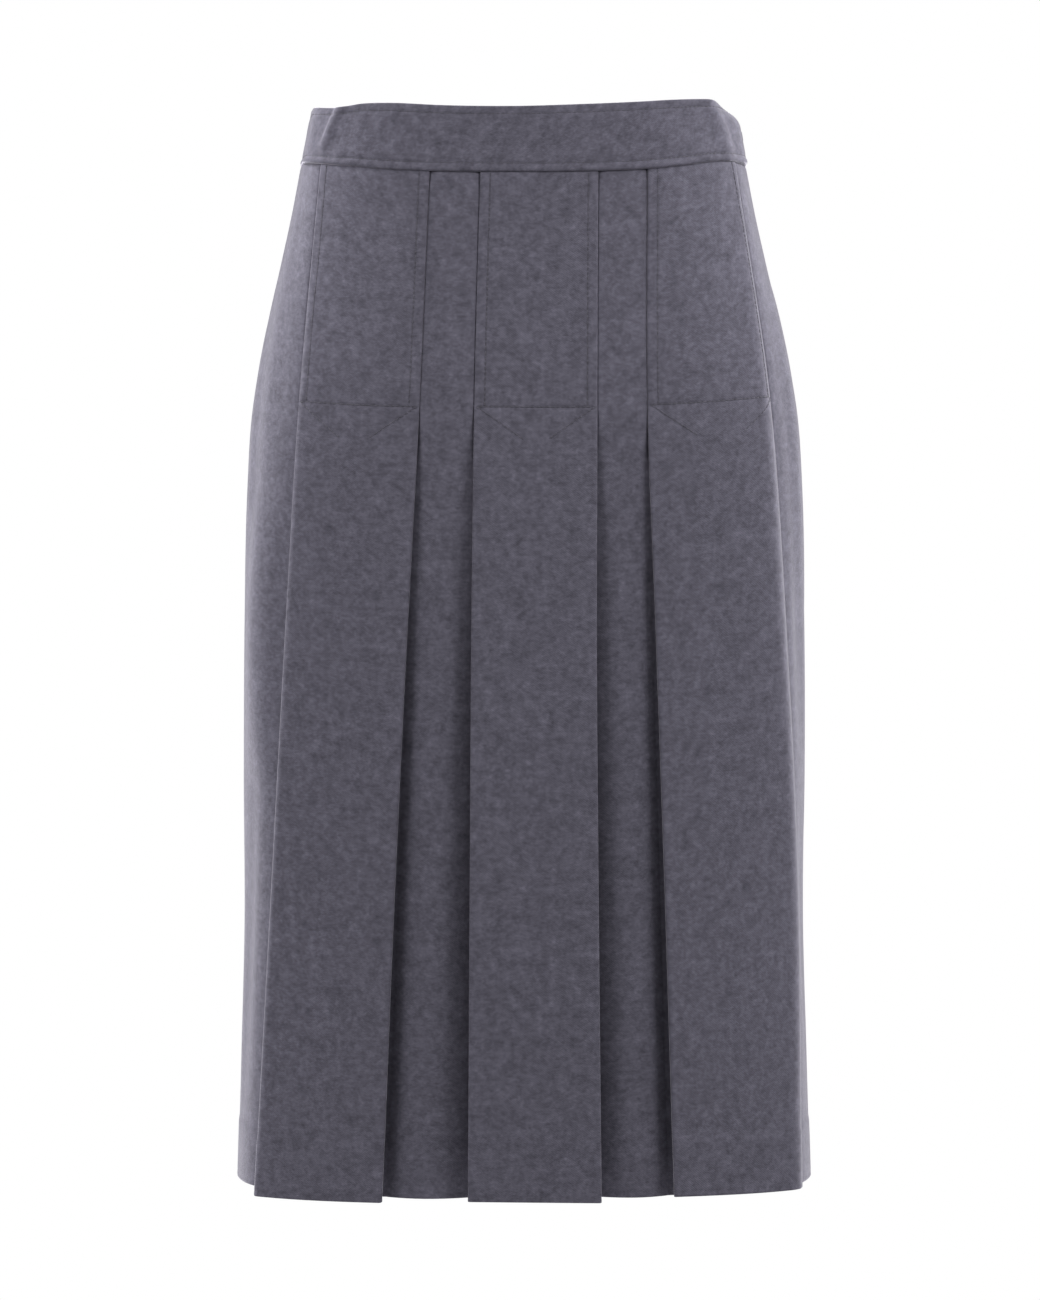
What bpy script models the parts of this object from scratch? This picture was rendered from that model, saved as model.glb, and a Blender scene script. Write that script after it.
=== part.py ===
"""Pleated midi skirt in wool flannel, filled out as it is worn.

Metres, +Z up. The front faces -Y and the wearer's left, with the zip, is at +X. The origin is
the middle of the waist opening, halfway up the waistband at the side seams.

The cloth follows a ground curve: the plan outline of the innermost layer at one height, from
the middle of the front (or back) round to the side seam. A place on the cloth is a walk along
that curve from the middle and a lift off it, so the pleats are drawn flat, as walks and lifts,
and then wrapped round the body.
"""

import math

import bmesh
import bpy
import numpy as np

MM = 0.001

# Heights
BAND_HEIGHT = 40 * MM  # at the side seams
SEAM_Z = -20 * MM  # the waist seam at the side seams
HEM_Z = -694.5 * MM
HEM_SIDE_RISE = 2.5 * MM
SEAM_GAP = 0.3 * MM

# Cloth
WALL = 1.1 * MM
BAND_WALL = 2.8 * MM
BAND_ROUNDING = 1.0 * MM
BAND_LIFT_PLEATS = 3.4 * MM  # the waistband's middle stands off the ground over the pleats
BAND_LIFT_SIDE = -0.3 * MM
BAND_STEP = (158 * MM, 30 * MM)  # walk where it starts to step down, and the step's length

# Pleats: layers lie one pitch apart where they are stitched down, and open below the release
RELEASE = 0.233  # share of the way from the waist seam to the hem
LAYER_PITCH = 1.9 * MM
HEM_LAYER_PITCH = 3.0 * MM
PLEAT_DEPTH = 24 * MM  # from a fold's edge to its inner fold, under the panel
HEM_PLEAT_DEPTH = 32 * MM
HEM_FLATNESS = 0.7  # how far a panel's face has left the body for a flat plane at the hem

# Colours (linear)
FLANNEL_COLOUR = (0.115, 0.107, 0.135)
TAPE_COLOUR = (0.05, 0.048, 0.058)
METAL_COLOUR = (0.09, 0.088, 0.1)

# Zip in the side seam at +X
ZIP_TOP_Z = 5 * MM
TAPE_WIDTH = 10.5 * MM
TAPE_THICKNESS = 1.0 * MM
TAPE_SLIT = 1.5 * MM
TAPE_STEP = (14 * MM, 4 * MM)  # below the waist seam, where the tape steps in behind the band
BAND_OPENING = 2.0 * MM  # between the waistband's ends
BAND_CORNER = 5 * MM  # radius of the waistband's top corners at the zip
ROLL_IN = 11.0 * MM  # the waistband's top rolls in this far beside the zip
ROLL_FALL = 4.0 * MM
ROLL_STARTS = 0.6  # share of the waistband's height
ROLL_FULL, ROLL_FADES = 34 * MM, 74 * MM  # along the waistband, from its end
SLIDER_Z = 2 * MM

# Slider and pull, in the slider's own axes: X out of the cloth, Y round the body, Z up the
# zip, from the waistband's outer face at the slider
SLIDER_BODY_HALF = (2.6 * MM, 4.0 * MM)  # along Y and Z
SLIDER_BODY_THICKNESS = 2.6 * MM
SLIDER_ROUNDING = 0.7 * MM
NECK_HALF = (0.45 * MM, 3.0 * MM)
BRIDGE_HALF = (0.7 * MM, 3.0 * MM)
BRIDGE_OUT = (0.0 * MM, 2.25 * MM)
BRIDGE_ROUNDING = 0.3 * MM
WINDOW_OUT = (0.4 * MM, 1.7 * MM)
WINDOW_HALF = 2.0 * MM
JOIN_OVERLAP = 0.3 * MM  # between parts that are joined into one solid
PULL_THICKNESS = 0.8 * MM  # also the height of the bar at its top
PULL_CLEARANCE = 0.2 * MM
PULL_LENGTH = 16.0 * MM
PULL_HALF_TOP, PULL_HALF_FOOT = 2.1 * MM, 2.9 * MM
PULL_WINDOW_HALF, PULL_WINDOW_FOOT = 1.0 * MM, -4.2 * MM

FRONT, BACK = -1, 1
GROUND_SAMPLES = 480


def table(names, *rows):
    """Columns by name, from rows of numbers."""
    return dict(zip(names.split(), zip(*rows)))


# Ground curve by share of the way from the waist seam to the hem (millimetres). A power of 2
# is an ellipse, and a larger one is squarer.
BODY = table(
    "at    half_width front_depth back_depth front_power back_power",
    (0.00, 148.3,      97.0,       96.0,      2.40,       2.25),
    (0.05, 154.6,     101.0,      103.0,      2.48,       2.30),
    (0.10, 161.9,     106.5,      111.5,      2.55,       2.32),
    (0.15, 169.5,     112.5,      119.5,      2.62,       2.34),
    (0.20, 176.2,     118.5,      126.0,      2.68,       2.36),
    (0.25, 181.2,     122.0,      130.0,      2.72,       2.38),
    (0.32, 184.1,     124.0,      133.0,      2.75,       2.40),
    (0.45, 186.0,     125.5,      134.0,      2.78,       2.40),
    (0.60, 186.4,     127.0,      134.0,      2.80,       2.40),
    (0.75, 185.6,     128.5,      135.0,      2.80,       2.38),
    (0.88, 188.0,     130.0,      137.0,      2.80,       2.35),
    (1.00, 190.3,     131.0,      140.0,      2.80,       2.30),
)

# Ground curve of the waistband, by share of its height.
BAND = table(
    "at   half_width front_depth back_depth front_power back_power",
    (0.0, 148.3,      97.0,       96.0,      2.40,       2.25),
    (1.0, 141.0,      94.0,       93.0,      2.35,       2.20),
)

# The front's waist seam and waistband, by place across from -1 to 1 (millimetres): how far the
# seam dips below its height at the sides, and how much taller the waistband stands there.
WAIST = table(
    "at      dip   taller",
    (-1.00,  0.0, -3.2),
    (-0.88,  4.7, -2.6),
    (-0.76,  7.8,  1.6),
    (-0.64, 10.4,  3.6),
    (-0.42, 12.8,  3.5),
    (-0.10, 13.5,  3.2),
    (0.20,  13.0,  4.2),
    (0.50,  10.4,  4.6),
    (0.68,   6.6,  3.6),
    (0.84,   2.0,  1.2),
    (1.00,   0.0,  0.0),
)

# Where the six pressed folds of the front show, across from its middle (millimetres).
FOLDS = table(
    "at      left_outer left_inner middle_left middle_right right_inner right_outer",
    (0.000, -135.9,     -64.9,     -35.3,       43.3,        75.7,       137.4),
    (0.233, -150.3,     -72.4,     -40.0,       40.9,        73.4,       156.3),
    (0.455, -159.4,     -81.8,     -40.8,       39.6,        78.5,       167.1),
    (0.708, -168.7,     -90.8,     -42.1,       39.8,        83.9,       175.4),
    (1.000, -179.4,     -99.6,     -43.6,       41.4,        89.6,       178.3),
)
# How far each fold stands off the ground curve at the hem, and how far below the strips
# between the panels it hangs there (millimetres).
FOLD_HEMS = {
    "left_outer": (12.0, 3.4),
    "left_inner": (9.0, 2.0),
    "middle_left": (14.0, 0.3),
    "middle_right": (13.0, 1.7),
    "right_inner": (9.0, -0.8),
    "right_outer": (12.0, 1.2),
}
PANELS = (
    ("left_outer", "left_inner"),
    ("middle_left", "middle_right"),
    ("right_inner", "right_outer"),
)

# Soft flares of the plain back (millimetres): place is the walk from its middle at the hem.
BACK_FLARES = table(
    "place  half_width depth starts",
    (-128.0, 44.0,      5.0,  0.42),
    (-38.0,  52.0,      6.5,  0.34),
    (56.0,   46.0,      4.5,  0.48),
    (136.0,  40.0,      6.0,  0.38),
)

# Rows of cloth, as shares of the way down. All pieces share the rows of the hip, where the
# zip lies against them.
HIP_ROWS = (0, 0.03, 0.065, 0.10, 0.14, 0.185, RELEASE)
FRONT_ROWS = HIP_ROWS + (0.27, 0.32, 0.38, 0.45, 0.53, 0.61, 0.70, 0.79, 0.88, 0.94, 1)
BACK_ROWS = HIP_ROWS + (0.32, 0.42, 0.53, 0.65, 0.77, 0.89, 1)

# Spans across each stretch of cloth
SIDE_SPANS, STRIP_SPANS, FACE_SPANS, RETURN_SPANS, BEND_SPANS = 8, 4, 5, 3, 3
BACK_SPANS = 40
BAND_SPANS = 30  # each of the front and the back
BAND_ZIP_COLUMNS = (0.95, 0.975, 0.99)  # extra columns at the zip, by share of the reach
BAND_LEVELS = (0, 0.3, 0.6, 0.7, 0.8, 0.9, 1)
TAPE_SPANS = 3
PULL_FOOT_SPANS = 12


# ---------------------------------------------------------------- shapes in numbers

def blend(start, end, share):
    return start + (end - start) * share


def ease(share):
    """0 to 1 with level ends."""
    share = min(max(share, 0.0), 1.0)
    return share * share * (3 - 2 * share)


def smooth(columns, name, at):
    """One column of a table, on a smooth curve through its rows."""
    places = np.array(columns["at"])
    values = np.array(columns[name])
    if len(places) == 2:
        return float(np.interp(at, places, values))
    slopes = np.gradient(values, places)
    row = int(np.clip(np.searchsorted(places, at) - 1, 0, len(places) - 2))
    span = places[row + 1] - places[row]
    t = (at - places[row]) / span
    rise = values[row + 1] - values[row]
    bow = t * (1 - t) * span * ((1 - t) * slopes[row] - t * slopes[row + 1])
    turn = t * (1 - t) * (2 * t - 1) * rise
    return float(blend(values[row], values[row + 1], t) + bow + turn)


class Ground:
    """The ground curve of the front or the back at one height, mirrored at the middle."""

    def __init__(self, half_width, depth, power, facing):
        turn = np.linspace(0, 1, GROUND_SAMPLES)
        turn = (3 - 2 * turn) * turn ** 2 * math.pi / 2
        self.half_width = half_width
        self.x = half_width * np.sin(turn) ** (2 / power)
        self.y = facing * depth * np.cos(turn) ** (2 / power)
        steps = np.hypot(np.diff(self.x), np.diff(self.y))
        self.walk = np.concatenate([[0], np.cumsum(steps)])
        self.out_x = -facing * np.gradient(self.y, self.walk)
        self.out_y = facing * np.gradient(self.x, self.walk)
        self.reach = float(self.walk[-1])

    def point(self, walk, lift=0.0):
        """Plan place of a layer, and how far across the body it is, from -1 to 1."""
        x = np.interp(abs(walk), self.walk, self.x + lift * self.out_x)
        y = np.interp(abs(walk), self.walk, self.y + lift * self.out_y)
        across = np.interp(abs(walk), self.walk, self.x) / self.half_width
        return math.copysign(x, walk), float(y), math.copysign(across, walk)

    def walk_to(self, x, lift):
        """The walk at which a lifted layer reaches x."""
        walk = np.interp(abs(x), self.x + lift * self.out_x, self.walk)
        return math.copysign(walk, x)


def ground(columns, at, facing):
    side = "front" if facing == FRONT else "back"
    return Ground(
        smooth(columns, "half_width", at) * MM,
        smooth(columns, side + "_depth", at) * MM,
        smooth(columns, side + "_power", at),
        facing,
    )


def waist(name, across, facing):
    """A column of the waist's table: the back runs straight between the front's ends."""
    if facing == FRONT:
        return smooth(WAIST, name, across) * MM
    ends = WAIST[name][0], WAIST[name][-1]
    return blend(*ends, (across + 1) / 2) * MM


def seam_z(across, facing):
    """Height of the waist seam, which dips at the middle of the front."""
    return SEAM_Z - waist("dip", across, facing)


def cloth_z(across, at, facing):
    """Height of the skirt's cloth: its top edge stays just under the waistband."""
    return blend(seam_z(across, facing) - SEAM_GAP / 2, HEM_Z + HEM_SIDE_RISE * across ** 8, at)


def opening(at):
    """How far the pleats have opened, from 0 down to the release to 1 at the hem."""
    below = max(at - RELEASE, 0) / (1 - RELEASE)
    return 1 - (1 - below) ** 2


def run(start, end, spans):
    """Walks and lifts along a straight stretch, its start left out."""
    return [
        (blend(start[0], end[0], i / spans), blend(start[1], end[1], i / spans))
        for i in range(1, spans + 1)
    ]


def bend(walk, low, high, towards):
    """Walks and lifts round a pressed fold, from one lift to the other, both left out.

    towards is +1 where the fold points along the walk and -1 where it points back.
    """
    radius = abs(high - low) / 2
    return [
        (
            walk + towards * radius * math.sin(math.pi * i / BEND_SPANS),
            blend(low, high, (1 - math.cos(math.pi * i / BEND_SPANS)) / 2),
        )
        for i in range(1, BEND_SPANS)
    ]


# ---------------------------------------------------------------- sections of the cloth

def fold_lift(name, at):
    """How far a fold's outer layer stands off the ground."""
    return blend(2 * LAYER_PITCH, FOLD_HEMS[name][0] * MM, opening(at))


def fold_fall(name, at):
    """How far a fold's outer layer hangs below the strips."""
    return FOLD_HEMS[name][1] * MM * at


def panel_face(curve, left, right, flatness):
    """Plan places along a panel's face, its ends included, with the share of the way over."""
    ends = [curve.point(*left), curve.point(*right)]
    places = []
    for i in range(FACE_SPANS + 1):
        share = i / FACE_SPANS
        x, y, across = curve.point(blend(left[0], right[0], share), blend(left[1], right[1], share))
        flat_x, flat_y = (blend(ends[0][axis], ends[1][axis], share) for axis in (0, 1))
        places.append((blend(x, flat_x, flatness), blend(y, flat_y, flatness), across, share))
    return places


def front_section(at):
    """Places of the front's cloth at one height, from side seam to side seam."""
    curve = ground(BODY, at, FRONT)
    pitch = blend(LAYER_PITCH, HEM_LAYER_PITCH, opening(at))
    depth = blend(PLEAT_DEPTH, HEM_PLEAT_DEPTH, at)
    section = []

    def wrap(fold, walks_and_lifts):
        """Layers at a fold hang lower with their lift."""
        for walk, lift in walks_and_lifts:
            x, y, across = curve.point(walk, lift)
            fall = fold_fall(fold, at) * lift / fold_lift(fold, at)
            section.append((x, y, cloth_z(across, at, FRONT) - fall))

    here = (-curve.reach + SEAM_GAP / 2, 0.0)
    wrap("left_outer", [here])
    for left_fold, right_fold in PANELS:
        left_lift, right_lift = fold_lift(left_fold, at), fold_lift(right_fold, at)
        left = curve.walk_to(smooth(FOLDS, left_fold, at) * MM, left_lift)
        right = curve.walk_to(smooth(FOLDS, right_fold, at) * MM, right_lift)
        face_start = (left + pitch / 2, left_lift)
        face_end = (right - pitch / 2, right_lift)

        # under the panel, round the inner fold and back out to the panel's edge
        under = (left + depth, 0.0)
        wrap(left_fold, run(here, under, SIDE_SPANS if here[0] < -curve.reach / 2 else STRIP_SPANS))
        wrap(left_fold, bend(under[0], 0.0, pitch, +1))
        wrap(left_fold, [(under[0], pitch)])
        wrap(left_fold, run((under[0], pitch), (face_start[0], left_lift - pitch), RETURN_SPANS))
        wrap(left_fold, bend(face_start[0], left_lift - pitch, left_lift, -1))

        flatness = HEM_FLATNESS * opening(at)
        for x, y, across, share in panel_face(curve, face_start, face_end, flatness):
            fall = blend(fold_fall(left_fold, at), fold_fall(right_fold, at), share)
            section.append((x, y, cloth_z(across, at, FRONT) - fall))

        # the same at the panel's other edge, the other way about
        under = (right - depth, 0.0)
        wrap(right_fold, bend(face_end[0], right_lift, right_lift - pitch, +1))
        wrap(right_fold, [(face_end[0], right_lift - pitch)])
        wrap(right_fold, run((face_end[0], right_lift - pitch), (under[0], pitch), RETURN_SPANS))
        wrap(right_fold, bend(under[0], pitch, 0.0, -1))
        wrap(right_fold, [under])
        here = under
    wrap("right_outer", run(here, (curve.reach - SEAM_GAP / 2, 0.0), SIDE_SPANS))
    return section


def flare(walk, at):
    """Lift of the back's soft flares."""
    lift = 0.0
    for place, half_width, depth, starts in zip(*BACK_FLARES.values()):
        off = min(abs(walk - place * MM) / (half_width * MM), 1.0)
        lift += depth * MM * (1 - off ** 2) ** 2 * ease((at - starts) / (1 - starts))
    return lift


def back_section(at):
    """Plan places of the back's cloth at one height, from side seam to side seam."""
    curve = ground(BODY, at, BACK)
    reach = curve.reach - SEAM_GAP / 2
    section = []
    for i in range(BACK_SPANS + 1):
        walk = blend(-reach, reach, i / BACK_SPANS)
        x, y, across = curve.point(walk, flare(walk, at))
        section.append((x, y, cloth_z(across, at, BACK)))
    return section


def band_lift(walk, facing):
    """Lift of the waistband's middle: it steps out over the stack of pleats at the front."""
    if facing == BACK:
        return BAND_LIFT_SIDE
    step_start, step_length = BAND_STEP
    share = ease((abs(walk) - step_start) / step_length)
    return blend(BAND_LIFT_PLEATS, BAND_LIFT_SIDE, share)


def band_columns():
    """Facing and share of the reach of each column, from the zip round to the zip."""
    spacing = [i / BAND_SPANS for i in range(-BAND_SPANS, BAND_SPANS + 1)]
    shares = sorted([*spacing, *BAND_ZIP_COLUMNS])
    front = [(FRONT, share) for share in reversed(shares)]
    back = [(BACK, share) for share in shares[1:]]
    return front + back


def band_roll(from_end, level):
    """How far the waistband's top has rolled in and fallen beside the zip."""
    beside_zip = ease((ROLL_FADES - from_end) / (ROLL_FADES - ROLL_FULL))
    up = max(level - ROLL_STARTS, 0) / (1 - ROLL_STARTS)
    return ROLL_IN * beside_zip * up ** 2, ROLL_FALL * beside_zip * up ** 2


def band_section(level):
    """Places of the waistband at one share of its height, from the zip round to the zip."""
    section = []
    for facing, share in band_columns():
        seam_reach = ground(BAND, 0, facing).reach - BAND_OPENING / 2
        from_end = (1 - share) * seam_reach
        cut = max(BAND_CORNER - from_end, 0)
        corner_drop = BAND_CORNER - math.sqrt(BAND_CORNER ** 2 - cut ** 2)
        up = level * (1 - corner_drop / BAND_HEIGHT)
        curve = ground(BAND, up, facing)
        end = curve.reach - BAND_OPENING / 2 if share > 0 else curve.reach
        roll_in, fall = band_roll(from_end, up)
        lift = band_lift(share * seam_reach, facing) - roll_in
        x, y, across = curve.point(share * end, lift)
        height = BAND_HEIGHT + waist("taller", across, facing)
        section.append((x, y, seam_z(across, facing) + SEAM_GAP / 2 + up * height - fall))
    return section


def side_ground(z, facing):
    """The ground curve at a height at the side seam, of the waistband or of the skirt."""
    if z > SEAM_Z:
        return ground(BAND, (z - SEAM_Z) / BAND_HEIGHT, facing)
    return ground(BODY, (SEAM_Z - z) / (SEAM_Z - HEM_Z), facing)


def tape_section(z, facing):
    """Places across one zip tape, behind the waistband or behind the skirt's cloth."""
    curve = side_ground(z, facing)
    behind_cloth = -(WALL + TAPE_THICKNESS) / 2 - SEAM_GAP
    behind_band = band_lift(curve.reach, facing) - (BAND_WALL + TAPE_THICKNESS) / 2 - SEAM_GAP
    low, high = TAPE_STEP
    lift = blend(behind_cloth, behind_band, ease((z - SEAM_Z + low) / (low - high)))
    edge = curve.reach - TAPE_SLIT / 2
    section = []
    for i in range(TAPE_SPANS + 1):
        x, y, _ = curve.point(edge - TAPE_WIDTH * i / TAPE_SPANS, lift)
        section.append((x, y, z))
    return section


# ---------------------------------------------------------------- building

def clear_scene():
    for item in list(bpy.data.objects):
        bpy.data.objects.remove(item, do_unlink=True)


def collection(name):
    made = bpy.data.collections.new(name)
    bpy.context.scene.collection.children.link(made)
    return made


def material(name, colour, roughness, metallic=0.0):
    made = bpy.data.materials.new(name)
    made.use_nodes = True
    shader = made.node_tree.nodes["Principled BSDF"]
    shader.inputs["Base Color"].default_value = (*colour, 1)
    shader.inputs["Roughness"].default_value = roughness
    shader.inputs["Metallic"].default_value = metallic
    return made


def add(group, name, mesh, finish=None):
    made = bpy.data.objects.new(name, mesh)
    group.objects.link(made)
    if finish:
        mesh.materials.append(finish)
    return made


def loft(group, name, sections, thickness, finish):
    """A wall of cloth: an open surface through the sections, thickened both ways."""
    shape = bmesh.new()
    rows = [[shape.verts.new(place) for place in section] for section in sections]
    for upper, lower in zip(rows, rows[1:]):
        for i in range(len(upper) - 1):
            shape.faces.new((upper[i], lower[i], lower[i + 1], upper[i + 1]))
    mesh = bpy.data.meshes.new(name)
    shape.to_mesh(mesh)
    shape.free()
    mesh.shade_smooth()
    made = add(group, name, mesh, finish)
    solid = made.modifiers.new("wall", "SOLIDIFY")
    solid.thickness = thickness
    solid.offset = 0
    solid.use_even_offset = True
    return made


def box(group, name, low, high, finish=None):
    """A box between two corners, in the slider's own axes."""
    shape = bmesh.new()
    bmesh.ops.create_cube(shape, size=1)
    for corner in shape.verts:
        corner.co = [
            (low[axis] + high[axis]) / 2 + corner.co[axis] * (high[axis] - low[axis])
            for axis in range(3)
        ]
    mesh = bpy.data.meshes.new(name)
    shape.to_mesh(mesh)
    shape.free()
    return add(group, name, mesh, finish)


def cut_with(target, tool, operation):
    boolean = target.modifiers.new(tool.name, "BOOLEAN")
    boolean.object = tool
    boolean.operation = operation
    boolean.solver = "EXACT"


def as_cutter(item):
    item.hide_render = True
    item.display_type = "WIRE"


def rounded(item, width, segments=2):
    bevel = item.modifiers.new("rounding", "BEVEL")
    bevel.width = width
    bevel.segments = segments
    bevel.limit_method = "ANGLE"
    bevel.angle_limit = math.radians(50)


def slider_frame():
    """Place and lean of the waistband's outer face at the slider."""
    curve = side_ground(SLIDER_Z, FRONT)
    out = curve.half_width + band_lift(curve.reach, FRONT) + BAND_WALL / 2
    narrowing = (BAND["half_width"][0] - BAND["half_width"][1]) * MM
    return (out, 0, SLIDER_Z), math.atan2(narrowing, BAND_HEIGHT)


def build_slider(group, cutters, finish):
    """The body behind the tapes, the neck through the slit and the bridge over the pull."""
    place, lean = slider_frame()
    body_out = -(BAND_WALL + TAPE_THICKNESS + 2 * SEAM_GAP)
    half_y, half_z = SLIDER_BODY_HALF
    body = box(group, "zip_slider", (body_out - SLIDER_BODY_THICKNESS, -half_y, -half_z),
               (body_out, half_y, half_z), finish)
    neck_y, neck_z = NECK_HALF
    bridge_in, bridge_out = BRIDGE_OUT
    neck = box(cutters, "slider_neck", (body_out - JOIN_OVERLAP, -neck_y, -neck_z),
               (bridge_in + JOIN_OVERLAP, neck_y, neck_z))
    bridge_y, bridge_z = BRIDGE_HALF
    bridge = box(cutters, "slider_bridge", (bridge_in, -bridge_y, -bridge_z),
                 (bridge_out, bridge_y, bridge_z))
    window_in, window_out = WINDOW_OUT
    window = box(cutters, "bridge_window", (window_in, -2 * bridge_y, -WINDOW_HALF),
                 (window_out, 2 * bridge_y, WINDOW_HALF))
    rounded(body, SLIDER_ROUNDING)
    rounded(bridge, BRIDGE_ROUNDING)
    cut_with(bridge, window, "DIFFERENCE")
    cut_with(body, neck, "UNION")
    cut_with(body, bridge, "UNION")
    for item in (body, neck, bridge, window):
        item.location = place
        item.rotation_euler = (0, -lean, 0)
    for item in (neck, bridge, window):
        as_cutter(item)


def hinge_place():
    """Where the pull's bar hangs, at the foot of the bridge's window, and the zip's lean."""
    (out, _, z), lean = slider_frame()
    bar_out = sum(WINDOW_OUT) / 2
    bar_z = -WINDOW_HALF + PULL_CLEARANCE + PULL_THICKNESS / 2
    return (
        out + bar_out * math.cos(lean) - bar_z * math.sin(lean),
        0,
        z + bar_out * math.sin(lean) + bar_z * math.cos(lean),
    ), lean


def closed_spline(curve, places):
    spline = curve.splines.new("POLY")
    spline.points.add(len(places) - 1)
    for point, place in zip(spline.points, places):
        point.co = (*place, 0, 1)
    spline.use_cyclic_u = True


def build_pull(group, finish):
    """A flat drop-shaped tab with a window, whose top bar passes under the bridge."""
    half_bar = PULL_THICKNESS / 2
    foot_middle = -PULL_LENGTH + PULL_HALF_FOOT
    foot = [
        (PULL_HALF_FOOT * math.cos(turn), foot_middle + PULL_HALF_FOOT * math.sin(turn))
        for turn in np.linspace(0, -math.pi, PULL_FOOT_SPANS + 1)
    ]
    outline = [(-PULL_HALF_TOP, half_bar), (PULL_HALF_TOP, half_bar), *foot]
    window = [(-PULL_WINDOW_HALF, -half_bar), (PULL_WINDOW_HALF, -half_bar),
              (PULL_WINDOW_HALF, PULL_WINDOW_FOOT), (-PULL_WINDOW_HALF, PULL_WINDOW_FOOT)]
    curve = bpy.data.curves.new("zip_pull", "CURVE")
    curve.dimensions = "2D"
    curve.fill_mode = "BOTH"
    curve.extrude = half_bar
    closed_spline(curve, outline)
    closed_spline(curve, window)
    pull = add(group, "zip_pull", curve, finish)
    pull.location, lean = hinge_place()
    # the outline's plane stands up along the side seam, and leans with the waistband
    pull.rotation_euler = (math.pi / 2 - lean, 0, math.pi / 2)


def main():
    clear_scene()
    skirt = collection("pleated_midi_skirt")
    cutters = collection("cutters")
    flannel = material("grey_flannel", FLANNEL_COLOUR, 0.95)
    tape = material("zip_tape", TAPE_COLOUR, 0.9)
    metal = material("zip_metal", METAL_COLOUR, 0.35, metallic=0.9)

    loft(skirt, "skirt_front", [front_section(at) for at in FRONT_ROWS], WALL, flannel)
    loft(skirt, "skirt_back", [back_section(at)[::-1] for at in BACK_ROWS], WALL, flannel)
    band = loft(skirt, "waistband", [band_section(at) for at in BAND_LEVELS], BAND_WALL, flannel)
    rounded(band, BAND_ROUNDING)
    low, high = TAPE_STEP
    heights = [ZIP_TOP_Z, SEAM_Z / 2, SEAM_Z - high, SEAM_Z - low]
    heights += [blend(SEAM_Z, HEM_Z, at) for at in HIP_ROWS[2:]]
    front_tape = [tape_section(z, FRONT)[::-1] for z in heights]
    back_tape = [tape_section(z, BACK) for z in heights]
    loft(skirt, "zip_tape_front", front_tape, TAPE_THICKNESS, tape)
    loft(skirt, "zip_tape_back", back_tape, TAPE_THICKNESS, tape)
    build_slider(skirt, cutters, metal)
    build_pull(skirt, metal)


main()
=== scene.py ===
"""Looks of the pleated midi skirt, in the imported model's own frame (metres, +Z up, front at -Y).

The cloth is drawn again, finer and thinner, on the solids' ground curves and near their folds:
a place on it is a walk along a ground curve from its middle and a lift off it. A height, called
at, is a share of the way from the waist seam to the hem. Left and right are the viewer's.
"""

import math

import bpy
import numpy as np
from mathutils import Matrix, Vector


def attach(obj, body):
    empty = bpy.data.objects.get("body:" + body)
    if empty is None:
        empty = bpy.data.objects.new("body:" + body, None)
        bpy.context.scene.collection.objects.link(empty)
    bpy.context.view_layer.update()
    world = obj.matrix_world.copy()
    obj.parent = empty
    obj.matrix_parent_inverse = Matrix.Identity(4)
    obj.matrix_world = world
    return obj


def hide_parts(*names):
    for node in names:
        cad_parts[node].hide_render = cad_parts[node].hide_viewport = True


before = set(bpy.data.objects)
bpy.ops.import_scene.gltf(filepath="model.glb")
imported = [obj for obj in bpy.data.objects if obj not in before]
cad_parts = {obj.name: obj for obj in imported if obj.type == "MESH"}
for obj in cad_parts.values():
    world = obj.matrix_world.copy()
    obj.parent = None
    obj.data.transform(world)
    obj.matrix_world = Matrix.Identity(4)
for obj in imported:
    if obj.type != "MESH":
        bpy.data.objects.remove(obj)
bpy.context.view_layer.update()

MM = 0.001
RNG = np.random.default_rng(7)
FRONT, BACK = -1, 1

# -------- dimensions of the solids

BAND_HEIGHT = 40 * MM
SEAM_Z, HEM_Z, HEM_SIDE_RISE = -20 * MM, -694.5 * MM, 2.5 * MM
LENGTH = SEAM_Z - HEM_Z
SEAM_GAP = 0.3 * MM
WALL, BAND_WALL = 1.1 * MM, 2.8 * MM
# the waistband's lift over the pleats and at the sides, and the step between them
BAND_LIFT_PLEATS, BAND_LIFT_SIDE = 3.4 * MM, -0.3 * MM
BAND_STEP = (158 * MM, 30 * MM)
RELEASE = 0.233  # the height down to which the panels are stitched down
PLEAT_DEPTH, HEM_PLEAT_DEPTH = 24 * MM, 32 * MM  # from a fold's edge to its inner fold
ZIP_TOP_Z, ZIP_FOOT = 5 * MM, 0.233
TAPE_WIDTH, TAPE_THICKNESS, TAPE_SLIT = 10.5 * MM, 1.0 * MM, 1.5 * MM
TAPE_STEP = (14 * MM, 4 * MM)  # below the waist seam, where a tape steps in behind the band
BAND_OPENING, BAND_CORNER = 2.0 * MM, 5 * MM
ROLL_IN, ROLL_FALL = 11.0 * MM, 4.0 * MM  # the waistband's top rolls in and down beside the zip
ROLL_STARTS = 0.6  # share of its height
ROLL_FULL, ROLL_FADES = 34 * MM, 74 * MM  # along it, from its end

# -------- the looks' own dimensions

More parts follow.
